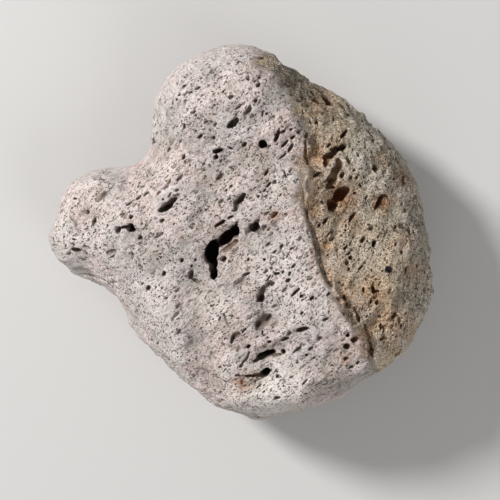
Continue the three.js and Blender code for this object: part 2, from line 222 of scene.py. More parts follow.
# The fill along the foot of the ridge: its height, how it rises and fades across the ridge, and
# where it starts and ends along Y. An extra fill is at the bend of the ridge: height, x, y and half
# sizes along X and Y.
FOOT_FILL = 0.7
FOOT_RISES = (-0.2, 0.6)
FOOT_FADES = (1.2, 6)
FOOT_STARTS = (-36, -30)
FOOT_ENDS = (8, 15)
CORNER_FILL = (0.8, 16, 11, 4, 3.5)

# Spots of colour on the upper face: x, y, radius, strength.
RUST = [
    (25, 8, 5, 1), (21, -4, 3.5, 0.7), (23, -9, 4, 0.6), (27, -17, 4, 0.8), (31, -26, 4, 0.8),
    (18.5, 19, 4.5, 0.9), (19, 11, 3.5, 0.7), (20, 33, 4, 0.8), (36, 7, 3.5, 0.9), (33, -16, 5, 0.8),
    (41, -2, 3.5, 0.6), (36, -23, 5, 0.8), (44, -10, 4, 0.6), (41.5, 14, 3, 0.8), (36, 18, 3, 0.5),
    (0.5, -37.5, 2.5, 0.9), (8.5, 4, 1.5, 0.9), (-2.5, -4, 2.5, 0.3), (26, -31.5, 2, 0.7),
    (12.5, 9, 2.5, 0.4), (3, -36.5, 2, 0.6), (18, 5, 4, 0.7), (28, 2, 4, 0.5),
]
# Moss spots, which also paint shade in hollows, at the foot of the ridge and on the shaded upper right
# rim.
MOSS_AND_SHADE_SPOTS = [
    (10, 41, 4, 1), (18, 35, 5, 1), (14, 38.5, 5.5, 1), (17, 23, 2.5, 0.7), (21, 11.5, 2, 0.9),
    (29, -21, 3, 0.6), (4.5, -23, 1.5, 0.7), (10, -28, 2, 0.5), (46, 2, 5, 0.5), (42, 18, 5, 0.4),
    (34, 27, 6, 0.5), (32, -28, 3, 0.5),
]
# Paler spots that paint light, most of all on the lower ledge at the -Y end.
PAINTED_LIGHT_SPOTS = [(8.5, -40.5, 7, 0.9), (8.5, -7, 7, 0.45), (-6.5, -18, 5, 0.4), (30, -6, 6.5, 0.2)]
CRYSTAL = (37, -9.5, 0.8)  # x, y and radius of a black crystal set in the shoulder

rng = np.random.default_rng(SEED)
LATTICE = rng.standard_normal((64, 64, 64)).astype(np.float32)


def smoothstep(value, low, high):
    t = np.clip((value - low) / (high - low), 0, 1)
    return t * t * (3 - 2 * t)


def ripple(points, spacing, start=0):
    """Smooth noise at points, n by 3, with features about `spacing` mm across."""
    where = points / spacing + start
    base = np.floor(where).astype(np.int64)
    t = where - base
    t = (t * t * (3 - 2 * t)).astype(np.float32)
    total = np.zeros(len(points), np.float32)
    for corner in np.ndindex(2, 2, 2):
        weight = np.ones(len(points), np.float32)
        for k in range(3):
            weight *= t[:, k] if corner[k] else 1 - t[:, k]
        i, j, k = (base + corner).T % 64
        total += weight * LATTICE[i, j, k]
    return total


class Field:
    """A box of numbers on a regular grid of points, from `low` in steps of `step`."""

    def __init__(self, values, low, step):
        self.values = values
        self.low = np.asarray(low, np.float32)
        self.step = step

    def axes(self):
        counts = self.values.shape
        return [self.low[k] + self.step * np.arange(counts[k], dtype=np.float32) for k in range(3)]

    def sample(self, points):
        """Trilinear values at points, n by 3."""
        where = (points - self.low) / self.step
        most = np.array(self.values.shape) - 2
        base = np.clip(np.floor(where).astype(np.int32), 0, most)
        t = np.clip(where - base, 0, 1).astype(np.float32)
        total = np.zeros(len(points), np.float32)
        for corner in np.ndindex(2, 2, 2):
            weight = np.ones(len(points), np.float32)
            for k in range(3):
                weight *= t[:, k] if corner[k] else 1 - t[:, k]
            i, j, k = (base + corner).T
            total += weight * self.values[i, j, k]
        return total

    def slope(self, points, reach=1.0):
        """Unit gradient at points, by central differences over `reach`."""
        steps = np.eye(3, dtype=np.float32) * reach
        found = np.stack([self.sample(points + s) - self.sample(points - s) for s in steps], 1)
        return found / np.maximum(np.linalg.norm(found, axis=1, keepdims=True), 1e-6)


def blur(values, passes):
    """Binomial smoothing, once along each axis per pass."""
    for _ in range(passes):
        for axis in range(3):
            ends = [(1, 1) if k == axis else (0, 0) for k in range(3)]
            wide = np.moveaxis(np.pad(values, ends, mode="edge"), axis, 0)
            values = np.moveaxis((wide[:-2] + 2 * wide[1:-1] + wide[2:]) / 4, 0, axis)
    return np.ascontiguousarray(values)


def resample_axis(values, positions, axis, cubic):
    """values at fractional positions along one axis: linear, or through a cubic B-spline."""
    low = np.floor(positions).astype(int)
    t = (positions - low).astype(np.float32)
    weights = [1 - t, t]
    if cubic:
        inner = (3 * t**3 - 6 * t**2 + 4) / 6
        outer = (-3 * t**3 + 3 * t**2 + 3 * t + 1) / 6
        weights = [(1 - t) ** 3 / 6, inner, outer, t**3 / 6]
        low = low - 1
    shape = [-1 if k == axis else 1 for k in range(3)]
    last = values.shape[axis] - 1
    total = 0
    for k, weight in enumerate(weights):
        taken = np.take(values, np.clip(low + k, 0, last), axis)
        total = total + taken * weight.reshape(shape)
    return total.astype(np.float32)


def noise(like, spacing):
    """Smooth noise with features `spacing` mm across, on the grid of `like`."""
    spans = [like.step * n for n in like.values.shape]
    lattice = rng.standard_normal([int(span / spacing) + 5 for span in spans]).astype(np.float32)
    for axis, n in enumerate(like.values.shape):
        lattice = resample_axis(lattice, np.arange(n) * like.step / spacing + 1.5, axis, True)
    return lattice * 2.2


def solid_field(obj):
    """Signed distance to a CAD node in mm, below zero inside it, with its points and faces."""
    mesh = obj.data
    mesh.calc_loop_triangles()
    points = np.empty(len(mesh.vertices) * 3, np.float32)
    mesh.vertices.foreach_get("co", points)
    points = points.reshape(-1, 3) * 1000
    faces = np.empty(len(mesh.loop_triangles) * 3, np.uint32)
    mesh.loop_triangles.foreach_get("vertices", faces)
    faces = faces.reshape(-1, 3)
    low = np.floor(points.min(0) - MARGIN)
    high = np.ceil(points.max(0) + MARGIN)
    grid = openvdb.FloatGrid.createLevelSetFromPolygons(
        points,
        triangles=faces,
        transform=openvdb.createLinearTransform(voxelSize=COARSE),
        exBandWidth=6 / COARSE,
        inBandWidth=12 / COARSE,
    )
    values = np.zeros(((high - low) / COARSE + 1).astype(int), np.float32)
    grid.copyToArray(values, ijk=tuple(int(v) for v in np.rint(low / COARSE)))
    return Field(values, low, COARSE), points, faces


def levelled(field):
    """The field with its own hollows filled in, nearly up to the face around them."""
    values = field.values
    for _ in range(LEVEL_ROUNDS):
        values = np.minimum(values, blur(values, LEVEL_BLUR))
    return Field(values, field.low, field.step)


def near_placed(field, margin, deep=2):
    """1 on the columns of the field near a placed bubble that is deep, 0 over `margin` away."""
    xs, ys, _ = field.axes()
    x, y = np.meshgrid(xs, ys, indexing="ij")
    share = np.zeros(x.shape, np.float32)
    for at_x, at_y, length, _, _, depth in PLACED:
        if depth >= deep:
            away = np.hypot(x - at_x, y - at_y) - length / 2
            share = np.maximum(share, 1 - smoothstep(away, 0.4 * margin, margin))
    return share


def refined(field, step):
    """The same field on a finer grid."""
    values = field.values
    for axis, n in enumerate(field.values.shape):
        count = int((n - 1) * field.step / step) + 1
        values = resample_axis(values, np.arange(count) * step / field.step, axis, False)
    return Field(values, field.low, step)


def ridge_side(x, y):
    """How far (x, y) lies beyond the ridge, towards +X."""
    return (x - np.interp(y, RIDGE_Y, RIDGE_X)) * RIDGE_SLANT


def ledge_wear(x, y, xs, ys, drop, reach):
    """How far a ledge lowers the face at (x, y)."""
    past = np.interp(x, xs, ys) - y
    ends = smoothstep(x, xs[0], xs[0] + 2) * smoothstep(-x, -xs[-1], 2 - xs[-1])
    return drop * ends * smoothstep(past, 0, 0.5) * (1 - smoothstep(past, 0.3 * reach, reach))


def relief(x, y):
    """How much the upper face is worn down at (x, y), along ragged lines."""
    coarse, fine = RAGGED
    flat = np.stack([x.ravel(), y.ravel(), np.zeros(x.size)], 1)
    x, y = (
        v + (coarse * ripple(flat, 3.5, start) + fine * ripple(flat, 1.2, start)).reshape(v.shape)
        for v, start in [(x, 7), (y, 31)]
    )
    past = ridge_side(x, y)
    foot = smoothstep(past, *FOOT_RISES) * (1 - smoothstep(past, *FOOT_FADES))
    middle = smoothstep(y, *FOOT_STARTS) * (1 - smoothstep(y, *FOOT_ENDS))
    height, at_x, at_y, half_x, half_y = CORNER_FILL
    corner = np.exp(-(((x - at_x) / half_x) ** 2) - ((y - at_y) / half_y) ** 2)
    worn = -foot * (FOOT_FILL * middle + height * corner)
    for at_x, at_y, half_x, half_y, full, depth in WORN_SPOTS:
        away = np.hypot((x - at_x) / half_x, (y - at_y) / half_y)
        worn += depth * (1 - smoothstep(away, full, 1))
    for xs, ys, drop, reach in LEDGES:
        worn += ledge_wear(x, y, xs, ys, drop, reach)
    return worn


def shoulder_share(points):
    """1 on the shoulder, 0 on the light face and low on the walls, with a ragged border."""
    x, y, z = points.T
    ragged = RAGGED[0] * ripple(points, 3) + RAGGED[1] * ripple(points, 1.1)
    wander = 2.5 * ripple(points, 6) * smoothstep(y, 4, 14)
    wander += 5 * ripple(points, 10, 60) * (1 - smoothstep(z, 18, 34))
    high_enough = smoothstep(z + 3 * ripple(points, 9), 3, 16)
    return smoothstep(ridge_side(x, y) + ragged + wander, *TAN_BORDER) * high_enough


def lobe_share(points):
    """1 on the side lobe, 0 on the rest."""
    return smoothstep(-points[:, 0], *LOBE_FROM)


def flow(points):
    """The direction in which the bubbles are drawn out, as unit vectors, at each point."""
    tan = smoothstep(ridge_side(points[:, 0], points[:, 1]), -1, 5)
    lobe = lobe_share(points)
    turn = np.radians(FLOW + SHOULDER_TURN * tan + LOBE_TURN * lobe)
    tilt = np.radians(FACE_TILT + (SHOULDER_TILT - FACE_TILT) * tan)
    flat = np.cos(tilt)
    return np.stack([np.cos(turn) * flat, np.sin(turn) * flat, np.sin(tilt)], 1)


def fibres(points, spacing, stretch=3.2, on_shoulder=1.7):
    """Noise drawn out along the flow of each zone, with fibres about `spacing` mm wide, at points."""
    tan = smoothstep(ridge_side(points[:, 0], points[:, 1]), -1, 1)
    lobe = lobe_share(points)
    total = 0
    for (turn, pivot), share in [
        (FACE_FLOW, (1 - tan) * (1 - lobe)),
        (SHOULDER_FLOW, on_shoulder * tan),
        (LOBE_FLOW, lobe * (1 - tan)),
    ]:
        c, s = math.cos(math.radians(turn)), math.sin(math.radians(turn))
        x, y = points[:, 0] - pivot[0], points[:, 1] - pivot[1]
        drawn = np.stack([(c * x + s * y) / stretch, (c * y - s * x), points[:, 2]], 1)
        total += share * (ripple(drawn, spacing, 5) + 0.7 * ripple(drawn, 0.54 * spacing, 17))
    return total


def frames(long, normal):
    """Orthonormal bases, as rows: long axis, across, and the rest."""
    across = np.cross(normal, long)
    across /= np.maximum(np.linalg.norm(across, axis=-1, keepdims=True), 1e-6)
    return np.stack([long, across, np.cross(long, across)], -2)


def scatter(points, faces, count):
    """Points spread evenly over a triangle mesh."""
    a, b, c = (points[faces[:, k]] for k in range(3))
    area = np.linalg.norm(np.cross(b - a, c - a), axis=1)
    chosen = rng.choice(len(faces), count, p=area / area.sum())
    u, v = rng.random((2, count, 1))
    over = u + v > 1
    u, v = np.where(over, 1 - u, u), np.where(over, 1 - v, v)
    return a[chosen] + u * (b - a)[chosen] + v * (c - a)[chosen]


def hollow(cut, warp, centre, basis, radii):
    """Lowers `cut` to the signed distance to an uneven ellipsoid with axes along basis's rows."""
    room = 1.0
    reach = np.abs(basis.T) @ radii + room
    low = np.clip(np.floor((centre - reach - cut.low) / cut.step).astype(int), 0, None)
    high = np.ceil((centre + reach - cut.low) / cut.step).astype(int) + 1
    high = np.minimum(high, cut.values.shape)
    if (high <= low).any():
        return
    window = tuple(slice(a, b) for a, b in zip(low, high))
    spans = [np.arange(a, b, dtype=np.float32) for a, b in zip(low, high)]
    axes = [cut.low[k] + cut.step * spans[k] - centre[k] for k in range(3)]
    uneven = np.clip(min(radii) / 0.8, 0.4, 1.2)  # narrow bubbles are the more even
    x, y, z = (
        v + uneven * w[window] for v, w in zip(np.meshgrid(*axes, indexing="ij", sparse=True), warp)
    )
    near = far = 0
    for row, radius in zip(basis, radii):
        along = x * row[0] + y * row[1] + z * row[2]
        near = near + (along / radius) ** 2
        far = far + (along / radius**2) ** 2
    near = np.sqrt(near)
    distance = near * (near - 1) / np.maximum(np.sqrt(far), 1e-6)
    np.minimum(cut.values[window], distance, out=cut.values[window])


def on_top(stone, skin, x, y, highest=50, lowest=8, step=0.1):
    """The point where a line down at (x, y) meets the stone, and the skin's normal there."""
    zs = np.arange(highest, lowest, -step, dtype=np.float32)
    column = np.stack([np.full_like(zs, x), np.full_like(zs, y), zs], 1)
    inside = stone.sample(column) < 0
    if not inside.any():
        return None, None
    point = column[np.argmax(inside)]
    return point, skin.slope(point[None])[0]


def place(cut, warp, stone, skin, x, y, length, width, turn, depth, sink=0.3):
    """One bubble, open at the top. Its centre is sunk below the face by `sink` of its radius."""
    point, normal = on_top(stone, skin, x, y)
    if point is None:
        return
    angle = math.radians(turn)
    long = np.array([math.cos(angle), math.sin(angle), 0])
    long -= normal * (long @ normal)
    long /= np.linalg.norm(long)
    grow = 1 / math.sqrt(1 - sink**2)  # keeps its mouth to the given length and width
    radii = np.array([length * grow / 2, width * grow / 2, depth / (1 + sink)])
    hollow(cut, warp, point - normal * radii[2] * sink, frames(long, normal), radii)


def groove(cut, warp, stone, skin, width, depth, points):
    """Short bubbles in a ragged row along a line of points."""
    for (x0, y0), (x1, y1) in zip(points, points[1:]):
        span = math.hypot(x1 - x0, y1 - y0)
        turn = math.degrees(math.atan2(y1 - y0, x1 - x0))
        count = max(int(span / (GROOVE_STEP * width)), 2)
        for t in np.arange(count + 1) / count:
            swell, lean, dx, dy = np.clip(rng.normal(0, 1, 4), -1.5, 1.5)
            if swell < GROOVE_GAPS:
                continue
            wide = width * (1 + GROOVE_SWELL * swell)
            long = GROOVE_LENGTH * wide
            x = x0 + (x1 - x0) * t + GROOVE_SHIFT * width * dx
            y = y0 + (y1 - y0) * t + GROOVE_SHIFT * width * dy
            place(cut, warp, stone, skin, x, y, long, wide, turn + GROOVE_LEAN * lean, depth)


# --- shape -------------------------------------------------------------------------------------

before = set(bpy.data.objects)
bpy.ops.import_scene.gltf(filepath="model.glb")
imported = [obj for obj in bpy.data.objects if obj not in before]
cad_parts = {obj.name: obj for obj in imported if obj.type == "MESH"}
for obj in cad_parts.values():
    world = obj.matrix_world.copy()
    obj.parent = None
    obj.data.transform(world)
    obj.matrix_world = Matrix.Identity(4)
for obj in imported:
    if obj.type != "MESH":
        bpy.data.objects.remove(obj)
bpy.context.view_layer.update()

base, cad_points, cad_faces = solid_field(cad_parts[NODE])

# The solid's own hollows in the upper face are filled in, to be cut again in finer detail.
level = levelled(base)
xs, ys, zs = base.axes()
upper_part = smoothstep(zs, *UPPER_PART)
refill = near_placed(base, margin=3.0)[:, :, None] * upper_part
base.values += (level.values - base.values) * refill.astype(np.float32)
skin = Field(blur(base.values, SKIN_BLUR), base.low, base.step)

# The solid's form, with a soft stretch of the ridge towards +Y, and then bent a little and lumpy.
soft = Field(blur(base.values, FORM_BLUR), base.low, base.step)
x, y = np.meshgrid(xs, ys, indexing="ij")
faded = np.exp(-((ridge_side(x, y) / SOFT_REACH) ** 2))
faded = faded * smoothstep(y, *SOFT_FROM) * (1 - smoothstep(y, *SOFT_TO))
faded = faded[:, :, None] * upper_part
soft.values += (skin.values - soft.values) * faded.astype(np.float32)
grid_points = np.stack(np.meshgrid(*soft.axes(), indexing="ij"), -1).reshape(-1, 3)
bend = np.stack([noise(soft, BEND[0]).ravel() * BEND[1] for _ in range(3)], 1)
soft.values = soft.sample(grid_points + bend).reshape(soft.values.shape)
soft.values += sum(noise(soft, size) * height for size, height in LUMPS)
near = (np.abs(soft.values) < 2.5).ravel()
soft.values.reshape(-1)[near] += COARSE_FIBRES[1] * fibres(grid_points[near], COARSE_FIBRES[0])
del grid_points, bend, near

# The finer grid, with what is worn off the upper face, grains and fine fibres.
stone = refined(soft, VOXEL)
xs, ys, zs = stone.axes()
worn = relief(*np.meshgrid(xs, ys, indexing="ij")).astype(np.float32)
stone.values += worn[:, :, None] * smoothstep(zs, *WORN_PART).astype(np.float32)
stone.values += noise(stone, GRAINS[0]) * GRAINS[1]
near = np.abs(stone.values) < 1.2
i, j, k = np.nonzero(near)
near_points = np.stack([xs[i], ys[j], zs[k]], 1)
stone.values[near] += FINE_FIBRES[1] * fibres(near_points, FINE_FIBRES[0])
del near, near_points, i, j, k

# The bubbles and grooves that are placed one by one.
cut = Field(np.full(stone.values.shape, 4.0, np.float32), stone.low, stone.step)
warp = []
for _ in range(3):
    shift = sum(noise(stone, size) * height for size, height in UNEVEN_WALLS)
    warp.append(shift.astype(np.float16))
del shift
for bubble in PLACED:
    place(cut, warp, stone, skin, *bubble)
for width, depth, points in GROOVES:
    groove(cut, warp, stone, skin, width, depth, points)

# Scattered bubbles, in drifts. Short ones are the most common.
spots = scatter(cad_points, cad_faces, SCATTERED)
spots = spots[ripple(spots, 6, 40) + rng.normal(0, 0.7, SCATTERED) > -0.7]
count = len(spots)
normals = skin.slope(spots)
directions = flow(spots) + rng.normal(0, UNEVEN_DIRECTION, (count, 3))
directions /= np.linalg.norm(directions, axis=1, keepdims=True)
on_shoulder = smoothstep(ridge_side(spots[:, 0], spots[:, 1]), 0, 5)
upper = (normals[:, 2] > 0.3) & (spots[:, 2] > 20)
lengths = SHORTEST * (1 - rng.random(count)) ** (-1 / FEWER_LONG)
lengths = np.minimum(lengths, np.where(upper, LONGEST_ABOVE, LONGEST))
shares = rng.uniform(*WIDTH_SHARES, count) + WIDER_ON_SHOULDER * on_shoulder
widths = np.clip(lengths * shares, *WIDTHS)
sinks = rng.uniform(*SINKS, count) * widths / 2
bases = frames(directions, normals)
for i in range(count):
    radii = np.array([lengths[i], widths[i], widths[i] * DEEPER]) / 2
    hollow(cut, warp, spots[i] - normals[i] * sinks[i], bases[i], radii)

# The bubbles leave slightly worn edges.
gap = np.maximum(EDGE - np.abs(stone.values + cut.values), 0) / EDGE
carved = np.maximum(stone.values, -cut.values) + gap * gap * EDGE / 4
carved = np.maximum(carved, -zs)  # the flat underside keeps to the ground
del gap, warp

# A black crystal, sunk in the shoulder.
crystal_point, crystal_normal = on_top(stone, skin, *CRYSTAL[:2])
crystal = crystal_point + crystal_normal * 0.1
carved = Field(carved, stone.low, stone.step)
x, y, z = np.meshgrid(xs - crystal[0], ys - crystal[1], zs - crystal[2], indexing="ij", sparse=True)
ball = np.sqrt(x * x + y * y + z * z) - CRYSTAL[2]
np.minimum(carved.values, ball, out=carved.values)
del x, y, z, ball

# The field becomes a mesh.
band = 3 * VOXEL
np.clip(carved.values, -band, band, out=carved.values)
volume = openvdb.FloatGrid(band)
volume.transform = openvdb.createLinearTransform(voxelSize=VOXEL)
volume.copyFromArray(carved.values, ijk=tuple(int(v) for v in np.rint(stone.low / VOXEL)))
places, triangles, quads = volume.convertToPolygons(0.0, 0.0)


def mesh_from(points, triangles, quads):
    """A mesh from points and the rows of point numbers of its triangles and quads."""
    mesh = bpy.data.meshes.new("pumice_skin")
    corners = np.concatenate([triangles.ravel(), quads.ravel()]).astype(np.int32)
    after = len(triangles) * 3
    starts = [np.arange(len(triangles)) * 3, after + np.arange(len(quads)) * 4]
    starts = np.concatenate(starts).astype(np.int32)
    mesh.vertices.add(len(points))
    mesh.vertices.foreach_set("co", points.astype(np.float32).ravel())
    mesh.loops.add(len(corners))
    mesh.loops.foreach_set("vertex_index", corners)
    mesh.polygons.add(len(starts))
    mesh.polygons.foreach_set("loop_start", starts)
    mesh.update(calc_edges=True)
    mesh.validate()
    return mesh


def put(mesh, name):
    obj = bpy.data.objects.new(name, mesh)
    bpy.context.scene.collection.objects.link(obj)
    return obj


def applied(obj):
    """The mesh of an object with its modifiers applied."""
    bpy.context.view_layer.update()
    graph = bpy.context.evaluated_depsgraph_get()
    return bpy.data.meshes.new_from_object(obj.evaluated_get(graph))


def largest_piece(mesh):
    """Points and triangles of the mesh's largest connected piece."""
    mesh.calc_loop_triangles()
    faces = np.empty(len(mesh.loop_triangles) * 3, np.int32)
    mesh.loop_triangles.foreach_get("vertices", faces)
    faces = faces.reshape(-1, 3)
    points = np.empty(len(mesh.vertices) * 3, np.float32)
    mesh.vertices.foreach_get("co", points)
    points = points.reshape(-1, 3)
    label = np.arange(len(points))
    while True:
        least = label[faces].min(1)
        fresh = label.copy()
        for k in range(3):
            np.minimum.at(fresh, faces[:, k], least)
        fresh = fresh[fresh]
        if (fresh == label).all():
            break
        label = fresh
    main = np.bincount(label[faces[:, 0]]).argmax()
    faces = faces[label[faces[:, 0]] == main]
    used, faces = np.unique(faces, return_inverse=True)
    return points[used], faces.reshape(-1, 3)


# The mesh is thinned in a space where the lower half is shrunk, which leaves the upper face the
# smaller triangles.
SHRUNK = 0.55
HEIGHTS = np.linspace(-5, 50, 1101)
SCALES = SHRUNK + (1 - SHRUNK) * smoothstep(HEIGHTS, 12, 24)
SHRUNK_HEIGHTS = np.concatenate([[0], np.cumsum((SCALES[1:] + SCALES[:-1]) / 2 * np.diff(HEIGHTS))])


def shrink(points):
    scale = np.interp(points[:, 2], HEIGHTS, SCALES)[:, None]
    z = np.interp(points[:, 2], HEIGHTS, SHRUNK_HEIGHTS)[:, None]
    return np.hstack([points[:, :2] * scale, z])


def unshrink(points):
    z = np.interp(points[:, 2], SHRUNK_HEIGHTS, HEIGHTS)[:, None]
    scale = np.interp(z[:, 0], HEIGHTS, SCALES)[:, None]
    return np.hstack([points[:, :2] / scale, z])


full = put(mesh_from(shrink(places), triangles, quads), "pumice_full")
found = len(triangles) + 2 * len(quads)
if found > MOST_TRIANGLES:
    reducer = full.modifiers.new("reduce", "DECIMATE")
    reducer.ratio = MOST_TRIANGLES / found
    reducer.use_collapse_triangulate = True
points, faces = largest_piece(applied(full))
bpy.data.objects.remove(full)
points = unshrink(points)
mesh = mesh_from(points / 1000, faces, np.empty((0, 4), int))
mesh.polygons.foreach_set("use_smooth", np.ones(len(mesh.polygons), bool))
piece = put(mesh, "pumice")


def attribute(name, values):
    layer = mesh.attributes.new(name, "FLOAT", "POINT")
    layer.data.foreach_set("value", np.asarray(values, np.float32))


def spotted(spots, points):
    """0 to 1: how strongly a list of round spots marks each point of the upper face."""
    total = np.zeros(len(points), np.float32)
    for x, y, radius, strength in spots:
        away = np.hypot(points[:, 0] - x, points[:, 1] - y) / radius
        total = np.maximum(total, strength * np.exp(-away * away))
    return total * smoothstep(points[:, 2], *SPOTTED_PART)


# What the material has to know about each point: how low it lies against the broad form, how level
# that form is there, how deep it is in a bubble, and the zones and spots that it belongs to.
points = np.asarray(points, np.float32)
attribute("low", np.clip(0.5 - 0.6 * (skin.sample(points) - 0.1), 0, 1))
attribute("level", smoothstep(skin.slope(points)[:, 2], 0.2, 0.8))
sunk = np.maximum(-stone.sample(points), -level.sample(points) - 0.8)
attribute("pit", np.maximum(sunk, 0))
attribute("tan", shoulder_share(points))
past = ridge_side(points[:, 0], points[:, 1]) + 3 * ripple(points, 7, 50)
attribute("outer", smoothstep(past - 5 * smoothstep(-points[:, 1], -8, 4), 7, 15))
attribute("rust", spotted(RUST, points))
attribute("moss", spotted(MOSS_AND_SHADE_SPOTS, points))
attribute("pale", spotted(PAINTED_LIGHT_SPOTS, points))
attribute("crystal", smoothstep(-np.linalg.norm(points - crystal, axis=1), -1, -0.85))

# The map for baked textures has a round chart of the half that looks up and one of the half that
# looks down. Each is widened towards its rim, where the walls are steep: by how much, and then its
# centre along both axes and its radius on the map.
TOP_CHART = (0.7, 0.34, 0.335)
BOTTOM_CHART = (0.9, 0.755, 0.24)
CORE = 30  # radius inside which a chart is widened evenly


def round_chart(corners, drop, chart):
    """Places on the map for the corners of faces. `drop` grows from the chart's middle outwards."""
    widening, centre, radius = chart
    offset = corners[..., :2]
    away = np.linalg.norm(offset, axis=-1, keepdims=True)
    offset = offset * (1 + widening * (drop - drop.min())[..., None] / np.maximum(away, CORE))
    return centre + offset * radius / np.linalg.norm(offset, axis=-1).max()


corners = np.empty(len(mesh.loops), np.int32)
mesh.loops.foreach_get("vertex_index", corners)
corners = points[corners.reshape(-1, 3)]
looks_up = skin.slope(corners.mean(1))[:, 2] > 0
upward, downward = corners[looks_up], corners[~looks_up]
bake_map = np.empty((len(corners), 3, 2), np.float32)
bake_map[looks_up] = round_chart(upward, -upward[..., 2], TOP_CHART)
bake_map[~looks_up] = round_chart(downward, downward[..., 2], BOTTOM_CHART)
mesh.uv_layers.new(name="OFBake").data.foreach_set("uv", bake_map.ravel())

# --- material ----------------------------------------------------------------------------------

material = bpy.data.materials.new("pumice")
material.use_nodes = True
tree = material.node_tree
tree.nodes.clear()


def node(kind, inputs=(), **settings):
    """A node, its settings made and its inputs linked from sockets or set to values."""
    made = tree.nodes.new(kind)
    for key, value in settings.items():
        setattr(made, key, value)
    for key, value in dict(inputs).items():
        if isinstance(value, bpy.types.NodeSocket):
            tree.links.new(value, made.inputs[key])
        else:
            made.inputs[key].default_value = value
    return made


def maths(operation, *values):
    return node("ShaderNodeMath", enumerate(values), operation=operation).outputs[0]


def vectors(operation, inputs):
    return node("ShaderNodeVectorMath", inputs, operation=operation).outputs[0]


def ramp(value, low, high, to_low=0.0, to_high=1.0):
    ends = {"From Min": low, "From Max": high, "To Min": to_low, "To Max": to_high}
    made = node("ShaderNodeMapRange", {"Value": value, **ends}, interpolation_type="SMOOTHSTEP")
    return made.outputs[0]


def mix(factor, a, b, kind="RGBA"):
    """a to b by factor: colours, or vectors where kind is VECTOR."""
    made = node("ShaderNodeMix", data_type=kind)
    first = 6 if kind == "RGBA" else 4
    for index, value in [(0, factor), (first, a), (first + 1, b)]:
        if isinstance(value, bpy.types.NodeSocket):
            tree.links.new(value, made.inputs[index])
        else:
            made.inputs[index].default_value = value
    return made.outputs[2 if kind == "RGBA" else 1]


def attr(name):
    return node("ShaderNodeAttribute", attribute_name=name).outputs["Fac"]


def colour(r, g, b):
    """An sRGB colour, 0 to 255, as a linear one."""
    linear = [c / 3294.6 if c < 10 else ((c / 255 + 0.055) / 1.055) ** 2.4 for c in (r, g, b)]
    return (*linear, 1.0)


CREAM = colour(208, 188, 160)
SAND = colour(192, 182, 162)
# Painted shade for the hollows of the broad form and painted highlight for its crests.
HOLLOW_SHADE_GREY = colour(140, 134, 122)
CREST_HIGHLIGHT_GREY = colour(226, 216, 210)
# Painted light for the paler spots.
PAINTED_LIGHT_WHITE = colour(246, 238, 230)
# Moss green, which also paints shade in hollows and on the shaded rim.
GROWTH_AND_SHADE = colour(72, 72, 58)
# Painted shade and painted highlight for the low and raised fibres and grains, on the face and on the
# shoulder.
FIBRE_SHADE = colour(120, 106, 98)
FIBRE_HIGHLIGHT = colour(232, 225, 222)
GRAIN_SHADE = colour(118, 106, 98)
GRAIN_HIGHLIGHT = colour(242, 232, 228)
TAN_GRAIN_SHADE = colour(88, 70, 46)
TAN_GRAIN_HIGHLIGHT = colour(250, 236, 214)
RUSTY_GRAIN_HIGHLIGHT = colour(240, 200, 154)
CRYSTAL_BLACK = colour(16, 17, 20)


def pattern(scale, detail=4.0, rough=0.6, vector=None):
    """Noise from 0 to 1, by default in all three axes alike."""
    inputs = {"Vector": vector or mm, "Scale": scale, "Detail": detail, "Roughness": rough}
    return node("ShaderNodeTexNoise", inputs).outputs[0]


mm = vectors("SCALE", {0: node("ShaderNodeTexCoord").outputs["Object"], 3: 1000.0})


def along(zone):
    """The coordinates in mm, turned about the zone's pivot so that its flow is the first axis."""
    turn, (x, y) = zone
    moved = vectors("SUBTRACT", {0: mm, 1: (x, y, 0)})
    turned = {"Vector": moved, "Rotation": (0, 0, math.radians(-turn))}
    return node("ShaderNodeMapping", turned).outputs[0]


grain_space = mix(attr("tan"), along(FACE_FLOW), along(SHOULDER_FLOW), "VECTOR")


def jitter(vector, scale, amount):
    """The vector, moved about by up to about `amount`."""
    inputs = {"Vector": mm, "Scale": scale, "Detail": 2.0}
    moved = node("ShaderNodeTexNoise", inputs).outputs["Color"]
    moved = vectors("SUBTRACT", {0: moved, 1: (0.5, 0.5, 0.5)})
    return vectors("ADD", {0: vector, 1: vectors("SCALE", {0: moved, 3: 2 * amount})})


bent = jitter(jitter(grain_space, 0.5, 0.8), 2.2, 0.22)


def pores(length, width, share):
    """1 in a pore to 0 outside. Each pore takes up to `share` of its cell."""
    cells = vectors("MULTIPLY", {0: bent, 1: (1 / length, 1 / width, 1 / width)})
    cells = node("ShaderNodeTexVoronoi", {"Vector": cells, "Scale": 1.0, "Randomness": 1.0})
    size = node("ShaderNodeSeparateColor", {0: cells.outputs["Color"]}).outputs[0]
    radius = maths("MULTIPLY", maths("POWER", size, 1.6), share)
    return ramp(maths("SUBTRACT", cells.outputs["Distance"], radius), -0.12, 0.03, 1.0, 0.0)


slits = pores(1.9, 0.8, 0.44)
pinholes = pores(0.95, 0.52, 0.52)
pricks = pores(0.46, 0.3, 0.58)

drawn = vectors("MULTIPLY", {0: bent, 1: (0.42, 1.7, 1.7)})
fibre = pattern(1.0, 5.0, 0.68, drawn)
broad = pattern(0.07, 3.0)
patch = pattern(0.22, 5.0)
blotch = pattern(0.6, 5.0, 0.65)
grain = pattern(2.6, 5.0, 0.72)

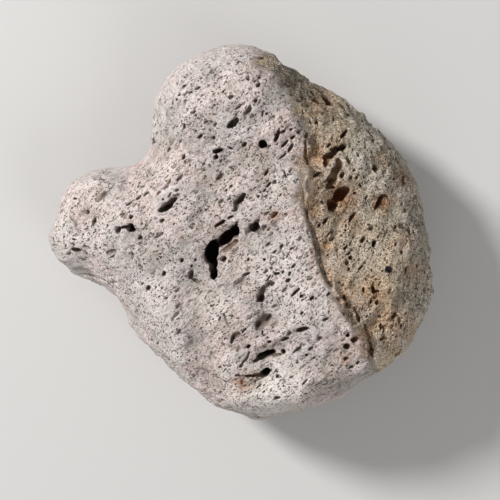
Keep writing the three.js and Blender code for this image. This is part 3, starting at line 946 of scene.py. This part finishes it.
pink = mix(ramp(patch, 0.4, 0.62), colour(210, 189, 183), colour(222, 208, 204))
grey = mix(ramp(patch, 0.4, 0.62), colour(184, 177, 172), colour(208, 199, 196))
light = mix(ramp(broad, 0.42, 0.58), pink, grey)
light = mix(ramp(blotch, 0.56, 0.7, 0.0, 0.6), light, CREAM)
beige = mix(ramp(patch, 0.36, 0.66), colour(204, 176, 140), colour(234, 214, 186))
chalk = mix(ramp(patch, 0.36, 0.66), colour(182, 175, 156), colour(218, 210, 194))
tan = mix(attr("outer"), beige, chalk)
tan = mix(ramp(blotch, 0.5, 0.75), tan, SAND)
skin_colour = mix(attr("tan"), light, tan)
low = attr("low")
# Painted shade in the hollows of the broad form and painted highlight on its crests.
skin_colour = mix(ramp(low, 0.5, 0.85, 0.0, 0.42), skin_colour, HOLLOW_SHADE_GREY)
skin_colour = mix(ramp(low, 0.15, 0.5, 0.45, 0.0), skin_colour, CREST_HIGHLIGHT_GREY)
# Paler spots painted as light.
skin_colour = mix(attr("pale"), skin_colour, PAINTED_LIGHT_WHITE)

rust = mix(ramp(blotch, 0.4, 0.62), colour(196, 142, 92), colour(150, 98, 58))
rusty = maths("MULTIPLY", attr("rust"), ramp(pattern(0.45, 5.0, 0.7), 0.34, 0.56))
skin_colour = mix(rusty, skin_colour, rust)
# Moss, and painted shade where the spots lie in hollows and on the shaded rim.
moss_and_shade_share = maths("MULTIPLY", attr("moss"), ramp(pattern(0.8, 5.0, 0.7), 0.32, 0.52))
skin_colour = mix(moss_and_shade_share, skin_colour, GROWTH_AND_SHADE)

# Fibres and grains are paler where they stand up and less pale where they sink: painted highlight and
# painted shade that follow the bumps below.
skin_colour = mix(ramp(fibre, 0.3, 0.52, 0.5, 0.0), skin_colour, FIBRE_SHADE)
skin_colour = mix(ramp(fibre, 0.52, 0.74, 0.0, 0.55), skin_colour, FIBRE_HIGHLIGHT)
skin_colour = mix(ramp(grain, 0.36, 0.5, 0.36, 0.0), skin_colour, GRAIN_SHADE)
skin_colour = mix(ramp(grain, 0.5, 0.64, 0.0, 0.36), skin_colour, GRAIN_HIGHLIGHT)
on_tan = attr("tan")
# On the shoulder, painted highlight on the raised grains and painted shade in the low ones.
tan_grain_highlight = maths("MULTIPLY", on_tan, ramp(grain, 0.5, 0.63, 0.0, 0.75))
skin_colour = mix(tan_grain_highlight, skin_colour, mix(rusty, TAN_GRAIN_HIGHLIGHT, RUSTY_GRAIN_HIGHLIGHT))
tan_grain_shade = maths("MULTIPLY", on_tan, ramp(grain, 0.36, 0.47, 0.75, 0.0))
skin_colour = mix(tan_grain_shade, skin_colour, TAN_GRAIN_SHADE)

# The pores are painted deep brown-grey, as painted shade in pores that are only bumps. They show most
# on level parts, and in drifts.
pore_shade = mix(on_tan, colour(76, 64, 58), colour(62, 47, 32))
showing = ramp(attr("level"), 0.0, 1.0, 0.55, 1.0)
showing = maths("MULTIPLY", showing, ramp(pattern(0.16, 3.0), 0.38, 0.56, 0.5, 1.2))
for shape, strength in [(slits, 0.6), (pinholes, 0.8), (pricks, 0.75)]:
    strength = maths("MINIMUM", maths("MULTIPLY", showing, strength), 1.0)
    skin_colour = mix(maths("MULTIPLY", shape, strength), skin_colour, pore_shade)

# The walls of the larger bubbles, darker with depth: painted shade in the pits, browner on the shoulder
# and rust-coloured where there is rust.
deep = attr("pit")
pit_wall_shade_and_stain = mix(on_tan, colour(124, 108, 97), colour(112, 80, 52))
pit_wall_shade_and_stain = mix(maths("MULTIPLY", attr("rust"), 0.7), pit_wall_shade_and_stain, colour(146, 100, 64))
pit_floor_shade_and_rust = mix(attr("rust"), colour(20, 14, 12), colour(140, 76, 46))
skin_colour = mix(ramp(deep, 0.15, 1.1, 0.0, 0.82), skin_colour, pit_wall_shade_and_stain)
skin_colour = mix(ramp(deep, 1.0, 3.2, 0.0, 0.95), skin_colour, pit_floor_shade_and_rust)
skin_colour = mix(attr("crystal"), skin_colour, CRYSTAL_BLACK)

# The same fibres, grains and pores as bumps, stronger on the shoulder.
height = maths("MULTIPLY", fibre, 0.5)
for shape, depth in [(grain, 0.4), (slits, -0.42), (pinholes, -0.32), (pricks, -0.2)]:
    height = maths("MULTIPLY_ADD", shape, depth, height)
height = maths("MULTIPLY", height, ramp(on_tan, 0.0, 1.0, 1.0, 1.7))
bump = node("ShaderNodeBump", {"Height": height, "Strength": 0.85, "Distance": 0.001})
shine = maths("MULTIPLY_ADD", attr("crystal"), -0.7, ramp(grain, 0.2, 0.8, 0.9, 0.99))
shader = node(
    "ShaderNodeBsdfPrincipled",
    {"Base Color": skin_colour, "Roughness": shine, "Normal": bump.outputs[0]},
)
shader.inputs["Specular IOR Level"].default_value = 0.22
node("ShaderNodeOutputMaterial", {"Surface": shader.outputs[0]})
mesh.materials.append(material)

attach(piece, "root")
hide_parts(NODE)

# --- floor, light and camera -------------------------------------------------------------------

FLOOR = 3  # half its side, in metres
floor_corners = [(-FLOOR, -FLOOR, 0), (FLOOR, -FLOOR, 0), (FLOOR, FLOOR, 0), (-FLOOR, FLOOR, 0)]
floor_mesh = bpy.data.meshes.new("floor")
floor_mesh.from_pydata(floor_corners, [], [(0, 1, 2, 3)])
floor = put(floor_mesh, "floor")
floor_material = bpy.data.materials.new("floor")
floor_material.use_nodes = True
floor_shader = floor_material.node_tree.nodes["Principled BSDF"]
floor_shader.inputs["Base Color"].default_value = colour(196, 194, 192)
floor_shader.inputs["Roughness"].default_value = 0.9
floor_mesh.materials.append(floor_material)


def lamp(name, azimuth, elevation, distance, size, power):
    """A round lamp, aimed at the stone from a direction in degrees and a distance in metres."""
    turn, lift = math.radians(azimuth), math.radians(elevation)
    towards = (math.cos(turn) * math.cos(lift), math.sin(turn) * math.cos(lift), math.sin(lift))
    towards = Vector(towards)
    data = bpy.data.lights.new(name, "AREA")
    data.shape = "DISK"
    data.size = size
    data.energy = power
    made = bpy.data.objects.new(name, data)
    bpy.context.scene.collection.objects.link(made)
    made.location = towards * distance
    made.rotation_euler = towards.to_track_quat("Z", "Y").to_euler()


lamp("key", azimuth=148, elevation=40, distance=1.15, size=0.24, power=15.0)
lamp("fill", azimuth=-50, elevation=45, distance=1.3, size=0.7, power=3.4)
lamp("low_fill", azimuth=-105, elevation=35, distance=1.3, size=0.7, power=1.8)

world = bpy.data.worlds.new("studio")
world.use_nodes = True
world.node_tree.nodes["Background"].inputs["Color"].default_value = (1, 1, 1, 1)
world.node_tree.nodes["Background"].inputs["Strength"].default_value = 0.32
bpy.context.scene.world = world
bpy.context.scene.view_settings.view_transform = "Standard"

# The camera looks straight down, from FAR above the level where the stone is widest. The frame is
# FRAME_WIDTH across at that level.
CAMERA_AT = (0.0024, -0.0046)
RIM_HEIGHT = 0.019
FAR = 0.35
FRAME_WIDTH = 0.1316
SENSOR = 36
camera = bpy.data.objects.new("camera", bpy.data.cameras.new("camera"))
camera.data.sensor_width = SENSOR
camera.data.lens = SENSOR * FAR / FRAME_WIDTH
camera.data.clip_start = 0.01
camera.location = (*CAMERA_AT, RIM_HEIGHT + FAR)
bpy.context.scene.collection.objects.link(camera)
bpy.context.scene.camera = camera
